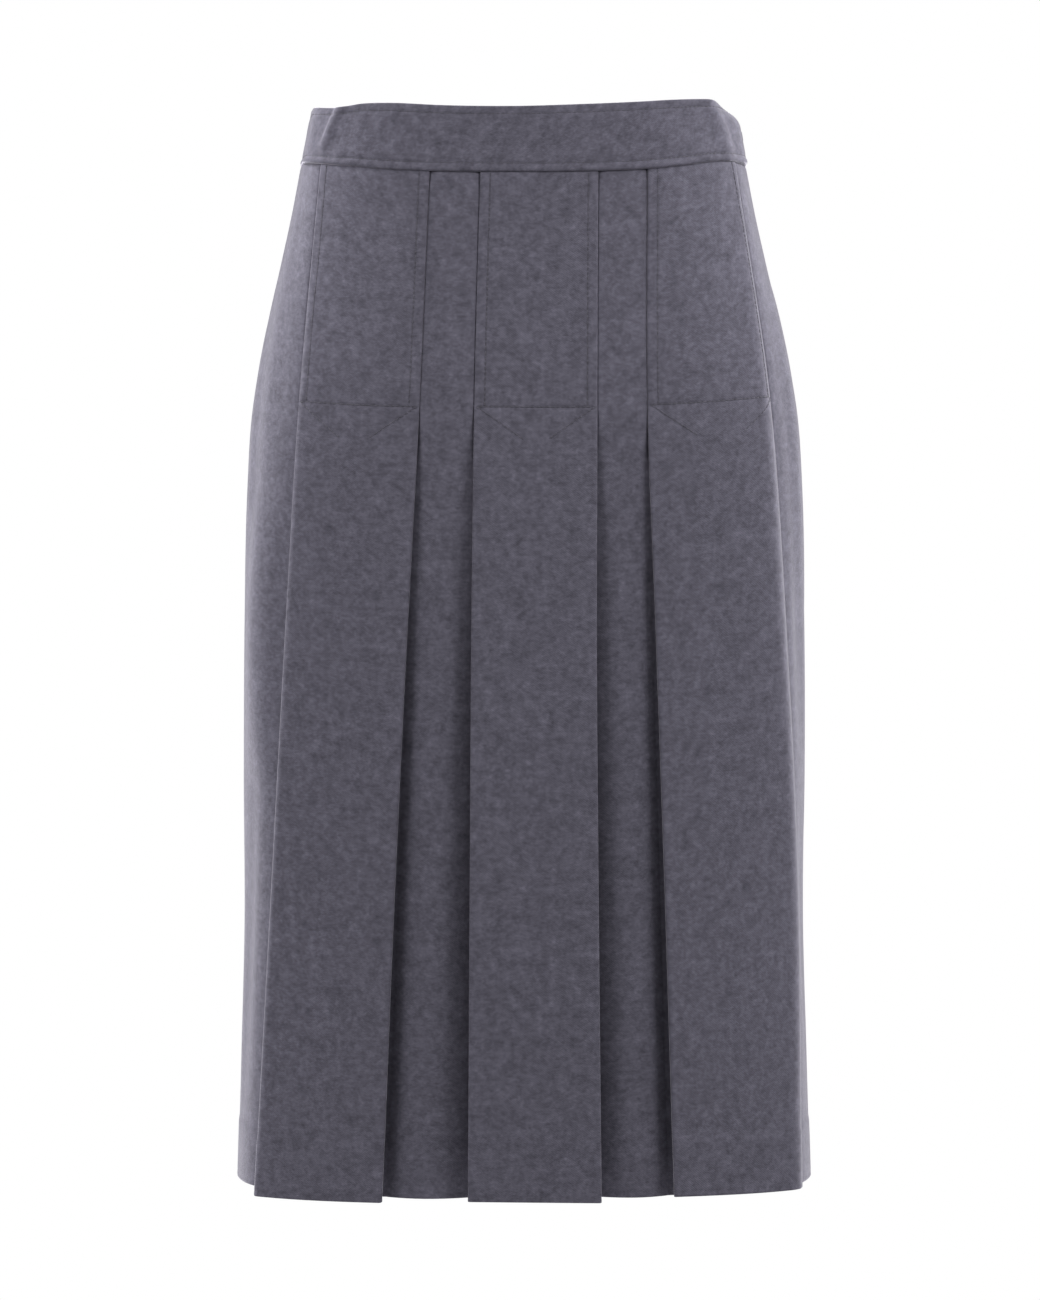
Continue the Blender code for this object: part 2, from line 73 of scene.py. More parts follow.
CLOTH, BAND_CLOTH = 0.95 * MM, 2.5 * MM
RIM, BAND_RIM = 0.4 * MM, 1.1 * MM  # how far rounded edges stand out
SIDE_GAP = 0.04 * MM
LAYER_PITCH, HEM_LAYER_PITCH = 1.45 * MM, 2.7 * MM  # from one pressed layer to the next
HEM_FLATNESS = 0.62  # how far a panel's face has left the body for a flat plane at the hem
HEM_TURN = 38 * MM  # how far it is turned up
HEM_TURN_STEP = (0.5 * MM, 1.2 * MM)  # how far the turned hem steps in, and over what height
HEM_SHOWS = (41 * MM, 35 * MM, 0.5 * MM)  # the outside steps out over the turn's edge
HEM_PRESS = (3.2 * MM, 0.12 * MM, 0.8 * MM)  # a faint groove: how high, how deep and wide
SEAM_TUCK = (0.9 * MM, 1.6 * MM)  # how deep and wide the cloth dips into the side seams
SEAM_LAP = 1.0 * MM  # how far the cloth is sewn up into the waistband
WAIST_TUCK = (2.0 * MM, 1.0 * MM)  # how far below the seam, and how deep
BAND_EDGE_TUCK = (1.0 * MM, 0.6 * MM)  # how far above the seam, and how deep
# the strips' bulge and sunk edges at the hem, their bow's power and lowest share, and how far
# under the panels it fades, in widths of a strip
STRIP_BULGE, STRIP_SINK = 0.8 * MM, 7.5 * MM
STRIP_BOW, STRIP_BOW_LOW, STRIP_FADES = 1.9, -0.12, (0.62, 0.5)
# at the waist seam a strip lies level with the panels, so many layers up: this far down
STRIP_RISE, STRIP_LAYERS, STRIP_LEVEL_POWER = 9 * MM, 1.8, 5
# beside the stitched-down folds the cloth rises towards the panels' level: on the strips and
# outside the outermost folds, over how far, and how far below the release it has sunk again
STRIP_LEVEL, SIDE_LEVEL = 2.3 * MM, 1.9 * MM
LEVEL_OVER, LEVEL_ENDS = 0.8 * MM, 48 * MM
# the outermost folds turn softly, over cloth that sinks beneath them: over how far and how deep
# they turn, the turn's power, how deep the cloth sinks, the height where that starts, how soon
# it is full, and how much of the rise beside the fold stays to the hem
OUTER_ROLLS = {
    "left_outer": (14 * MM, 0.9 * MM, 1.5, 2.0 * MM, 0.10, 2.0, 0.2),
    "right_outer": (15 * MM, 6.0 * MM, 1.9, 0.5 * MM, -0.02, 3.6, 0.9),
}
NO_ROLL = (0, 0, 0, 0, RELEASE, 2.0, 0)
ROLL_WIDTH = (2.2, 1.2 * MM)  # a roll is no wider than so many times its depth and this
SINKS_UNDER, SINKS_BESIDE = 0.85, 26 * MM  # as a share of the pleat's depth, and outside it
# stitching: from a panel's fold, and how deep and wide each kind sinks into the cloth
EDGE_STITCH = 5.5 * MM
EDGE_SINKS, RELEASE_SINKS = (0.16 * MM, 0.7 * MM), (0.35 * MM, 0.8 * MM)
CORNER_STITCHES = (31 * MM, 22 * MM)  # from a panel's corner, across and down
CORNER_SINKS, CORNER_SLANT = (0.5 * MM, 1.5 * MM), 0.65
DEEPEST_SINK = 0.7 * CLOTH
STITCH_PITCH, STITCH_LENGTH, STITCH_STRAYS = 3.3 * MM, 2.7 * MM, 0.08 * MM
STITCH_PLACES = np.array([0, 0.16, 0.5, 0.84, 1])
STITCH_RISES = np.array([-0.28, 0.10, 0.20, 0.10, -0.28]) * MM
THREAD = 0.19 * MM
DART_PLACE, DART_FOOT = 0.37, 0.19  # share of the reach, height
DART_SEAM, DART_FADES = (0.8 * MM, 0.9 * MM), 0.03  # how deep and wide, and its end's height
DART_SWELL = (0.7 * MM, 0.035, 9 * MM)  # the cloth stands out at its foot: height, down, across


def table(names, *rows):
    """Columns by name, from rows of numbers."""
    return dict(zip(names.split(), zip(*rows)))


CURVES = "at half_width front_depth back_depth front_power back_power"
BODY = table(
    CURVES,
    (0.00, 148.3, 97.0, 96.0, 2.40, 2.25),
    (0.05, 154.6, 101.0, 103.0, 2.48, 2.30),
    (0.10, 161.9, 106.5, 111.5, 2.55, 2.32),
    (0.15, 169.5, 112.5, 119.5, 2.62, 2.34),
    (0.20, 176.2, 118.5, 126.0, 2.68, 2.36),
    (0.25, 181.2, 122.0, 130.0, 2.72, 2.38),
    (0.32, 184.1, 124.0, 133.0, 2.75, 2.40),
    (0.45, 186.0, 125.5, 134.0, 2.78, 2.40),
    (0.60, 186.4, 127.0, 134.0, 2.80, 2.40),
    (0.75, 185.6, 128.5, 135.0, 2.80, 2.38),
    (0.88, 188.0, 130.0, 137.0, 2.80, 2.35),
    (1.00, 190.3, 131.0, 140.0, 2.80, 2.30),
)
BAND = table(
    CURVES,
    (0.0, 148.3, 97.0, 96.0, 2.40, 2.25),
    (1.0, 141.0, 94.0, 93.0, 2.35, 2.20),
)
WAIST = table(
    "at dip taller",
    (-1.00, 0.0, -3.2),
    (-0.88, 4.7, -2.6),
    (-0.76, 7.8, 1.6),
    (-0.64, 10.4, 3.6),
    (-0.42, 12.8, 3.5),
    (-0.10, 13.5, 3.2),
    (0.20, 13.0, 4.2),
    (0.50, 10.4, 4.6),
    (0.68, 6.6, 3.6),
    (0.84, 2.0, 1.2),
    (1.00, 0.0, 0.0),
)
FOLDS = table(
    "at left_outer left_inner middle_left middle_right right_inner right_outer",
    (0.000, -135.9, -66.2, -32.8, 43.3, 76.9, 137.4),
    (0.233, -150.3, -73.6, -37.8, 40.9, 74.4, 157.0),
    (0.455, -159.4, -81.8, -40.1, 39.8, 79.1, 167.6),
    (0.708, -168.7, -90.0, -41.4, 40.6, 84.7, 176.6),
    (1.000, -179.4, -98.0, -42.7, 42.2, 90.4, 178.3),
)
FOLD_HEMS = {  # how far a fold stands off at the hem, and how much lower it hangs
    "left_outer": (12.0, 3.4), "left_inner": (9.0, 2.0), "middle_left": (14.0, 0.3),
    "middle_right": (13.0, 1.7), "right_inner": (9.0, -0.8), "right_outer": (12.0, 1.2),
}
PANELS = (("left_outer", "left_inner"), ("middle_left", "middle_right"),
          ("right_inner", "right_outer"))
BACK_FLARES = table(
    "place half_width depth starts",
    (-128, 44, 5.0, 0.42),
    (-38, 52, 6.5, 0.34),
    (56, 46, 4.5, 0.48),
    (136, 40, 6.0, 0.38),
)

# Soft creases worn into the cloth, in millimetres and shares of the way to the hem. A depth
# below 0 is a trough.
CREASES = "walk at to_walk to_at half_width depth"
FRONT_CREASES = table(
    CREASES,
    (-203, 0.10, -214, 0.44, 17, -1.1),
    (-222, 0.16, -229, 0.62, 11, 0.9),
    (-201, 0.48, -224, 0.93, 14, -0.9),
    (-232, 0.50, -240, 0.97, 12, 1.0),
    (-198, 0.33, -204, 0.61, 32, 4.0),
    (-120, 0.30, -150, 0.86, 26, -0.5),
    (-96, 0.02, -118, 0.20, 20, -0.35),
    (6, 0.30, -9, 0.80, 24, -0.45),
    (22, 0.55, 30, 0.98, 14, 0.4),
    (104, 0.26, 128, 0.66, 24, -0.5),
    (150, 0.60, 138, 0.97, 20, 0.45),
    (198, 0.12, 206, 0.44, 26, 2.2),
    (186, 0.20, 208, 0.58, 13, -1.2),
    (214, 0.22, 226, 0.66, 10, 0.9),
    (205, 0.62, 231, 0.96, 15, -0.9),
    (-60, 0.34, -64, 0.75, 10, -0.3),
    (60, 0.40, 66, 0.88, 11, -0.3),
)
BACK_CREASES = table(
    CREASES,
    (-212, 0.08, -224, 0.40, 16, -1.9),
    (-186, 0.26, -205, 0.72, 18, 1.4),
    (-150, 0.05, -120, 0.24, 15, -1.2),
    (-96, 0.22, -84, 0.60, 20, -1.4),
    (-60, 0.44, -70, 0.95, 14, -1.7),
    (-14, 0.18, 10, 0.46, 22, -1.0),
    (18, 0.52, 12, 0.98, 16, -1.9),
    (70, 0.05, 92, 0.26, 17, 0.8),
    (96, 0.34, 88, 0.82, 15, -1.7),
    (128, 0.12, 160, 0.36, 19, -1.4),
    (170, 0.40, 176, 0.90, 15, -1.5),
    (206, 0.20, 214, 0.62, 14, 1.5),
    (228, 0.55, 222, 0.94, 12, -1.2),
)
# The same on the waistband, by share of its height.
BAND_FRONT_CREASES = table(
    CREASES,
    (-122, 1.30, -146, 0.16, 6.0, 2.1),
    (-113, 1.10, -131, 0.20, 8, -0.4),
    (-70, 0.30, -20, 0.60, 13, -0.25),
    (20, 0.75, 80, 0.45, 12, -0.25),
    (119, 1.25, 144, -0.15, 10, 1.5),
    (184, 0.90, 172, 0.20, 5, -0.5),
)
BAND_BACK_CREASES = table(
    CREASES,
    (-190, 0.85, -170, 0.10, 7, 0.6),
    (-120, 0.30, -60, 0.70, 12, -0.4),
    (-10, 0.80, 40, 0.40, 14, -0.4),
    (96, 0.25, 140, 0.65, 12, 0.4),
    (186, 0.90, 172, 0.15, 7, -0.5),
)


# -------- the solids' own curves

CURVE_POINTS = 480


def blend(start, end, share):
    return start + (end - start) * share


def ease(share):
    share = np.clip(share, 0.0, 1.0)
    return share * share * (3 - 2 * share)


def smooth(columns, name, at):
    """One column of a table, on a smooth curve through its rows, at one place or many."""
    places, values = (np.array(columns[key], float) for key in ("at", name))
    at = np.asarray(at, float)
    if len(places) == 2:
        return np.interp(at, places, values)
    slopes = np.gradient(values, places)
    row = np.clip(np.searchsorted(places, at) - 1, 0, len(places) - 2)
    span = places[row + 1] - places[row]
    t = (at - places[row]) / span
    rise = values[row + 1] - values[row]
    bow = t * (1 - t) * span * ((1 - t) * slopes[row] - t * slopes[row + 1])
    turn = t * (1 - t) * (2 * t - 1) * rise
    return blend(values[row], values[row + 1], t) + bow + turn


class Ground:
    """The ground curve of the front or the back at one height, mirrored at the middle."""

    def __init__(self, half_width, depth, power, facing):
        turn = np.linspace(0, 1, CURVE_POINTS)
        turn = (3 - 2 * turn) * turn ** 2 * math.pi / 2
        self.half_width = half_width
        self.x = half_width * np.sin(turn) ** (2 / power)
        self.y = facing * depth * np.cos(turn) ** (2 / power)
        steps = np.hypot(np.diff(self.x), np.diff(self.y))
        self.walk = np.concatenate([[0], np.cumsum(steps)])
        self.out_x = -facing * np.gradient(self.y, self.walk)
        self.out_y = facing * np.gradient(self.x, self.walk)
        self.reach = float(self.walk[-1])

    def point(self, walk, lift=0.0):
        """Plan places of layers, and how far across the body they are, from -1 to 1."""
        side, far = np.sign(walk), np.abs(walk)
        here = np.interp(far, self.walk, self.x)
        x = here + lift * np.interp(far, self.walk, self.out_x)
        y = np.interp(far, self.walk, self.y) + lift * np.interp(far, self.walk, self.out_y)
        return x * side, y, here / self.half_width * side

    def walk_to(self, x, lift):
        walk = np.interp(abs(x), self.x + lift * self.out_x, self.walk)
        return math.copysign(walk, x)


def ground(columns, at, facing):
    side = "front" if facing == FRONT else "back"
    half_width, depth, power = (float(smooth(columns, name, at)) for name in
                                ("half_width", side + "_depth", side + "_power"))
    return Ground(half_width * MM, depth * MM, power, facing)


def waist(name, across, facing):
    if facing == FRONT:
        return smooth(WAIST, name, across) * MM
    return blend(WAIST[name][0], WAIST[name][-1], (across + 1) / 2) * MM


def seam_z(across, facing):
    return SEAM_Z - waist("dip", across, facing)


def cloth_z(across, at, facing):
    return blend(seam_z(across, facing) + SEAM_LAP, HEM_Z + HEM_SIDE_RISE * across ** 8, at)


def opening(at, starts=RELEASE, soon=2.0):
    below = max(at - starts, 0) / (1 - starts)
    return 1 - (1 - below) ** soon


def creased(creases, walk, at, length):
    """Lift of the soft creases at walks and shares of a length of cloth."""
    lift = np.zeros(np.broadcast(walk, at).shape)
    for w0, a0, w1, a1, half_width, depth in zip(*creases.values()):
        along_w, along_z = (w1 - w0) * MM, (a1 - a0) * length
        size = math.hypot(along_w, along_z)
        off_w, off_z = walk - w0 * MM, (at - a0) * length
        share = np.clip((off_w * along_w + off_z * along_z) / size ** 2, 0, 1)
        off = np.hypot(off_w - share * along_w, off_z - share * along_z) / (half_width * MM)
        swell = (4 * share * (1 - share)) ** 0.7
        lift += depth * MM * swell * np.maximum(1 - off ** 2, 0) ** 2
    return lift


def groove(off, depth, width):
    """A narrow rounded groove, by the distance from its middle."""
    return -depth * np.exp(-(off / width) ** 2)


# -------- sheets of cloth as grids

def run_along(places):
    steps = np.linalg.norm(np.diff(places, axis=0), axis=1)
    return np.concatenate([[0], np.cumsum(steps)])


def pick(at, run, values):
    """Places or directions at runs along a line."""
    return np.stack([np.interp(at, run, values[:, axis]) for axis in range(3)], axis=-1)


def index_at(value, rising):
    """Where values lie in rising numbers, as fractional indices."""
    return np.interp(value, rising, np.arange(len(rising)))


class Grid:
    """Rows of places on one sheet of cloth, with its outward directions and cloth coordinates."""

    def __init__(self, places, down):
        self.places = np.array(places)
        out = np.cross(np.gradient(self.places, axis=0), np.gradient(self.places, axis=1))
        self.out = out / np.linalg.norm(out, axis=2, keepdims=True)
        steps = np.linalg.norm(np.diff(self.places, axis=1), axis=2)
        run = np.concatenate([np.zeros((len(steps), 1)), np.cumsum(steps, axis=1)], axis=1)
        self.run = run - run[:, [run.shape[1] // 2]]
        self.down = np.broadcast_to(np.array(down)[:, None], self.run.shape)

    def at(self, rows, columns, lift):
        """Places and outward directions at fractional rows and columns."""
        rows, columns = np.broadcast_arrays(rows, columns)
        r = np.clip(rows.astype(int), 0, self.places.shape[0] - 2)
        c = np.clip(columns.astype(int), 0, self.places.shape[1] - 2)
        fr, fc = (rows - r)[:, None], (columns - c)[:, None]
        picked = []
        for field in (self.places, self.out):
            upper = blend(field[r, c], field[r, c + 1], fc)
            lower = blend(field[r + 1, c], field[r + 1, c + 1], fc)
            picked.append(blend(upper, lower, fr))
        places, out = picked
        return places + out * lift, out


def add_object(name, data):
    made = bpy.data.objects.new(name, data)
    bpy.context.scene.collection.objects.link(made)
    return made


def finish_mesh(name, places, faces, material, cloth=None):
    mesh = bpy.data.meshes.new(name)
    mesh.from_pydata(places.tolist(), [], faces)
    if cloth is not None:
        layer = mesh.attributes.new("cloth", "FLOAT_VECTOR", "POINT")
        layer.data.foreach_set("vector", np.ascontiguousarray(cloth, np.float32).ravel())
    mesh.materials.append(material)
    mesh.shade_smooth()
    made = add_object(name, mesh)
    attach(made, "skirt")
    return made


def joined(ring, next_ring):
    """Faces between two rings of points."""
    sides = (ring, np.roll(ring, -1), np.roll(next_ring, -1), next_ring)
    return np.stack(sides, axis=1).tolist()


def shell(name, grid, outer, inner, material, rounding=RIM, rings=3):
    """A closed thin shell on a grid, with rounded edges all round."""
    rows, columns = grid.run.shape
    places = grid.places
    edge_out = np.zeros_like(places)
    for edge, beside in ((np.s_[0], np.s_[1]), (np.s_[-1], np.s_[-2]),
                         (np.s_[:, 0], np.s_[:, 1]), (np.s_[:, -1], np.s_[:, -2])):
        away = places[edge] - places[beside]
        edge_out[edge] += away / np.maximum(np.linalg.norm(away, axis=1, keepdims=True), 1e-9)
    outer = np.broadcast_to(outer, (rows, columns))[..., None]
    inner = np.broadcast_to(inner, (rows, columns))[..., None]
    coords = np.stack([grid.run, grid.down, np.zeros_like(grid.run)], axis=2)
    layers = [(places + grid.out * outer).reshape(-1, 3),
              (places - grid.out * inner).reshape(-1, 3)]
    cloth = [coords.reshape(-1, 3)] * 2
    index = np.arange(rows * columns).reshape(rows, columns)
    quads = np.stack([index[:-1, :-1], index[1:, :-1], index[1:, 1:], index[:-1, 1:]], axis=2)
    quads = quads.reshape(-1, 4)
    faces = quads.tolist() + (quads[:, ::-1] + rows * columns).tolist()

    loop = [(0, c) for c in range(columns)] + [(r, columns - 1) for r in range(1, rows)]
    loop += [(rows - 1, c) for c in range(columns - 2, -1, -1)]
    loop += [(r, 0) for r in range(rows - 2, 0, -1)]
    r, c = np.array(loop).T
    middle, half = (outer - inner)[r, c] / 2, (outer + inner)[r, c] / 2
    before, start = index[r, c], 2 * rows * columns
    for ring in range(1, rings + 1):
        turn = math.pi * ring / (rings + 1)
        round_edge = places[r, c] + grid.out[r, c] * (middle + half * math.cos(turn))
        layers.append(round_edge + edge_out[r, c] * rounding * math.sin(turn))
        cloth.append(coords[r, c])
        now = start + np.arange(len(loop))
        start += len(loop)
        faces += joined(before, now)
        before = now
    faces += joined(before, index[r, c] + rows * columns)
    return finish_mesh(name, np.concatenate(layers), faces, material, np.concatenate(cloth))


def spaced(stops):
    """Numbers from runs of (start, end, step), joined up."""
    numbers = []
    for start, end, step in stops:
        count = max(round((end - start) / step), 1)
        numbers += list(np.linspace(start, end, count, endpoint=False))
    return np.array(numbers + [stops[-1][1]])


# -------- the skirt's front

CLOTH_ROWS = spaced([
    (0.4, 3, 0.6), (3, 9, 2), (9, 153, 6), (153, 155.6, 1.3), (155.6, 158.6, 0.5),
    (158.6, 184, 2.6), (184, 633, 7.5), (633, 642, 1.5), (642, 668, 6.5), (668, 674.1, 1.1),
]) * MM / LENGTH
BY_FOLD = np.array([0, 0.6, 1.2, 2.0, 3.2, 5.5, 9.0]) * MM
BY_OUTER_FOLD = np.array([0, 0.7, 1.4, 2.2, 3.4, 5.2, 7.6, 10.6, 14, 18, 22]) * MM
STRIP_COLUMNS, SIDE_COLUMNS, UNDER_COLUMNS = 7, 16, 4
BY_PANEL_EDGE = np.array([0, 0.7, 1.6, 2.8, 3.9, 4.6, 5.1, 5.5, 5.9, 6.4, 7.2, 8.8]) * MM
PANEL_COLUMNS = 34
STITCH_COLUMN = 7  # the column of a panel on its stitching


def stretch(start, end, count=7):
    """Walks and lifts along a straight stretch of cloth, its start left out."""
    share = np.arange(1, count + 1) / count
    return blend(start[0], end[0], share), blend(start[1], end[1], share)


def turned(walk, low, high, towards, count=5):
    """Walks and lifts round a pressed fold, both ends left out."""
    turn = math.pi * np.arange(1, count) / count
    radius = abs(high - low) / 2
    return walk + towards * radius * np.sin(turn), blend(low, high, (1 - np.cos(turn)) / 2)


def ground_walks(start, right, left, end):
    """Walks along the ground, the start left out, closer where the folds on it end: one that
    faces right, one that faces left, or None."""
    on_strip = right is not None and left is not None
    near, count = (BY_FOLD, STRIP_COLUMNS) if on_strip else (BY_OUTER_FOLD, SIDE_COLUMNS)
    walks = [np.array([start])]
    if right is not None:
        walks += [np.linspace(start, right, UNDER_COLUMNS)[1:-1], right + near]
    low, high = walks[-1][-1], end if left is None else left - near[-1]
    walks.append(np.linspace(low, high, count)[1:-1])
    if left is None:
        walks.append(np.array([end]))
    else:
        walks += [left - near[::-1], np.linspace(left, end, UNDER_COLUMNS)[1:]]
    walk = np.concatenate(walks)[1:]
    return walk, np.zeros_like(walk)


def face_shares(width):
    """Shares of the way over a panel, closer at its folds and its stitching."""
    near = BY_PANEL_EDGE / width
    middle = np.linspace(near[-1], 1 - near[-1], PANEL_COLUMNS)[1:-1]
    return np.concatenate([near, middle, 1 - near[::-1]])


FACE_COLUMNS = len(face_shares(1))


class FrontRow:
    """One row of the front's cloth, laid from left to right over and under its folds."""

    def __init__(self, at):
        self.at = at
        self.curve = ground(BODY, at, FRONT)
        self.pitch = blend(LAYER_PITCH, HEM_LAYER_PITCH, opening(at))
        self.depth = blend(PLEAT_DEPTH, HEM_PLEAT_DEPTH, at)
        self.walks, self.lifts, self.falls = [], [], []
        self.faces, self.flats = [], []  # where the faces start, and how far they leave the body
        self.edges = []  # the folds' columns and walks on the ground
        self.tops, self.rolls = {}, {}
        for fold, (hem_lift, _) in FOLD_HEMS.items():
            _, deep, _, _, opens, soon, _ = OUTER_ROLLS.get(fold, NO_ROLL)
            flat = 2 * self.pitch
            self.tops[fold] = blend(flat, max(hem_lift * MM, flat), opening(at, opens, soon))
            self.rolls[fold] = min(self.tops[fold] - flat, deep)
        reach = self.curve.reach - SIDE_GAP / 2 - RIM
        here, last_fold = -reach, None
        self.lay("left_outer", (here, 0.0))
        for left_fold, right_fold in PANELS:
            here, last_fold = self.lay_panel(left_fold, right_fold, here, last_fold)
        self.lay("right_outer", ground_walks(here, last_fold, None, reach))
        self.walk, self.lift, self.fall = (
            np.concatenate(part) for part in (self.walks, self.lifts, self.falls))
        stitched_down = 1 - ease((at - RELEASE) * LENGTH / LEVEL_ENDS)
        self.shape_strips(stitched_down)
        for fold, end, towards in (("left_outer", 0, 1), ("right_outer", -1, -1)):
            self.shape_outer(fold, end, towards, stitched_down)

    def laid(self):
        return sum(len(walk) for walk in self.walks)

    def lay(self, fold, *stretches):
        for walk, lift in stretches:
            self.walks.append(np.atleast_1d(walk))
            self.lifts.append(np.atleast_1d(lift))
            fall = FOLD_HEMS[fold][1] * MM * self.at * self.lifts[-1] / self.tops[fold]
            self.falls.append(fall)

    def edge_of(self, fold):
        lift = self.tops[fold] - self.rolls[fold]
        return self.curve.walk_to(float(smooth(FOLDS, fold, self.at)) * MM, lift), lift

    def lay_panel(self, left_fold, right_fold, here, last_fold):
        """Lays a panel and its underlays, and returns where the last one ends."""
        (left, left_lift), (right, right_lift) = self.edge_of(left_fold), self.edge_of(right_fold)
        pitch = self.pitch
        start, end = left + pitch / 2, right - pitch / 2
        under = left + self.depth
        self.lay(left_fold, ground_walks(here, last_fold, left, under))
        self.edges.append((self.laid(), left))
        self.lay(left_fold, turned(under, 0.0, pitch, +1), (under, pitch),
                 stretch((under, pitch), (start, left_lift - pitch)),
                 turned(start, left_lift - pitch, left_lift, -1))

        share = face_shares(end - start)
        self.faces.append(self.laid())
        walk, lift = blend(start, end, share), blend(left_lift, right_lift, share)
        x, y, _ = self.curve.point(walk, lift)
        flatness = HEM_FLATNESS * opening(self.at)
        self.flats.append([flatness * (blend(plan[0], plan[-1], share) - plan) for plan in (x, y)])
        self.walks.append(walk)
        self.lifts.append(lift)
        fall = blend(FOLD_HEMS[left_fold][1], FOLD_HEMS[right_fold][1], share)
        self.falls.append(fall * MM * self.at)

        under = right - self.depth
        inner = (end, right_lift - pitch)
        self.lay(right_fold, turned(end, right_lift, right_lift - pitch, +1), inner,
                 stretch(inner, (under, pitch)), turned(under, pitch, 0.0, -1))
        self.edges.append((self.laid(), right))
        self.lay(right_fold, (under, 0.0))
        return under, right

    def shape_strips(self, stitched_down):
        """Between the panels the cloth bows out in the middle and sinks under their edges."""
        by_waist = math.exp(-((self.at * LENGTH / STRIP_RISE) ** 2))
        fades_from, fades_over = STRIP_FADES
        for (first, right), (last, left) in zip(self.edges[1::2], self.edges[2::2]):
            walk, lift = self.walk[first:last], self.lift[first:last]
            over = (walk - right) / (left - right)
            off_middle = np.abs(2 * over - 1)
            bow = np.clip(1 - off_middle ** STRIP_BOW, STRIP_BOW_LOW, 1)
            fade = ease((over + fades_from) / fades_over)
            fade = fade * ease((1 + fades_from - over) / fades_over)
            lift += (bow * (STRIP_BULGE + STRIP_SINK) - STRIP_SINK) * fade * opening(self.at)
            level_with = np.clip(1 - off_middle ** STRIP_LEVEL_POWER, 0, 1)
            lift += STRIP_LAYERS * self.pitch * level_with * by_waist
            beside = np.maximum(np.minimum(walk - right, left - walk), 0)
            rise = STRIP_LEVEL * stitched_down * (1 - by_waist)
            lift += rise * (1 - np.exp(-((beside / LEVEL_OVER) ** 2)))

    def shape_outer(self, fold, end, towards, stitched_down):
        """An outermost fold rolls softly, and the cloth beneath and beside it sinks or rises."""
        rolls_over, _, steep, sinks, opens, soon, stays = OUTER_ROLLS[fold]
        column, fold_walk = self.edges[end]
        part = slice(0, column) if towards > 0 else slice(column, None)
        lift = self.lift[part]
        under = (self.walk[part] - fold_walk) * towards
        beside = np.maximum(-under, 0)
        away = np.where(under > 0, under / (SINKS_UNDER * self.depth), -under / SINKS_BESIDE)
        sinks_by = opening(self.at, opens, soon) * (1 - stitched_down * (under < 0))
        lift -= sinks * (1 - ease(away)) * sinks_by
        rise = (1 - np.exp(-((beside / LEVEL_OVER) ** 2))) * (1 - ease(beside / SINKS_BESIDE))
        lift += SIDE_LEVEL * blend(stays, 1, stitched_down) * rise

        face = slice(self.faces[end], self.faces[end] + FACE_COLUMNS)
        walk = self.walk[face]
        inside = (walk - walk[end]) * towards
        deep = self.rolls[fold]
        over = min(rolls_over, ROLL_WIDTH[0] * deep + ROLL_WIDTH[1])
        rolled = 1 - (1 - np.clip(inside / over, 0, 1)) ** steep
        self.lift[face] += deep * rolled * (1 - inside / inside.max())

    def places(self):
        lift = self.lift + creased(FRONT_CREASES, self.walk, self.at, LENGTH)
        lift = lift - seam_tuck(self.walk, self.curve.reach)
        lift = lift - waist_tuck(self.at, self.walk / self.curve.reach) + hem_step(self.at)
        x, y, across = self.curve.point(self.walk, lift)
        for start, (more_x, more_y) in zip(self.faces, self.flats):
            x[start:start + FACE_COLUMNS] += more_x
            y[start:start + FACE_COLUMNS] += more_y
        return np.stack([x, y, cloth_z(across, self.at, FRONT) - self.fall], axis=1)

    def pressed(self):
        """How far the stitching sinks into the cloth's outer side."""
        pressed = np.zeros_like(self.walk)
        down = (self.at - RELEASE) * LENGTH
        corner_across, corner_down = CORNER_STITCHES
        for start in self.faces:
            face = slice(start, start + FACE_COLUMNS)
            walk = self.walk[face]
            inside = np.minimum(walk - walk[0], walk[-1] - walk)
            sunk = groove(inside - EDGE_STITCH, *EDGE_SINKS) * float(down <= 0)
            sunk += groove(down, *RELEASE_SINKS) * ease(inside / (2 * MM))
            if 0 < down < corner_down:
                off = inside - down * corner_across / corner_down
                sunk += groove(off * CORNER_SLANT, *CORNER_SINKS)
            pressed[face] = np.maximum(sunk, -DEEPEST_SINK)
        return pressed


def hem_step(at):
    above, below, step = HEM_SHOWS
    return step * ease((above - (1 - at) * LENGTH) / (above - below))


def seam_tuck(walk, reach):
    """The cloth dips into the side seams."""
    deep, wide = SEAM_TUCK
    return deep * np.exp(-(((reach - np.abs(walk)) / wide) ** 2))


def waist_tuck(at, share):
    """The cloth sinks to its seam with the waistband, less at the sides."""
    down, deep = WAIST_TUCK
    return deep * (1 - 0.6 * share ** 6) * math.exp(-((at * LENGTH / down) ** 2))


# -------- the back, waistband and tapes

BY_DART = np.array([-2.6, -1.7, -1.0, -0.5, 0, 0.5, 1.0, 1.7, 2.6]) * MM
BY_SIDE_SEAM = np.array([0, 0.8, 1.6, 2.6, 4]) * MM


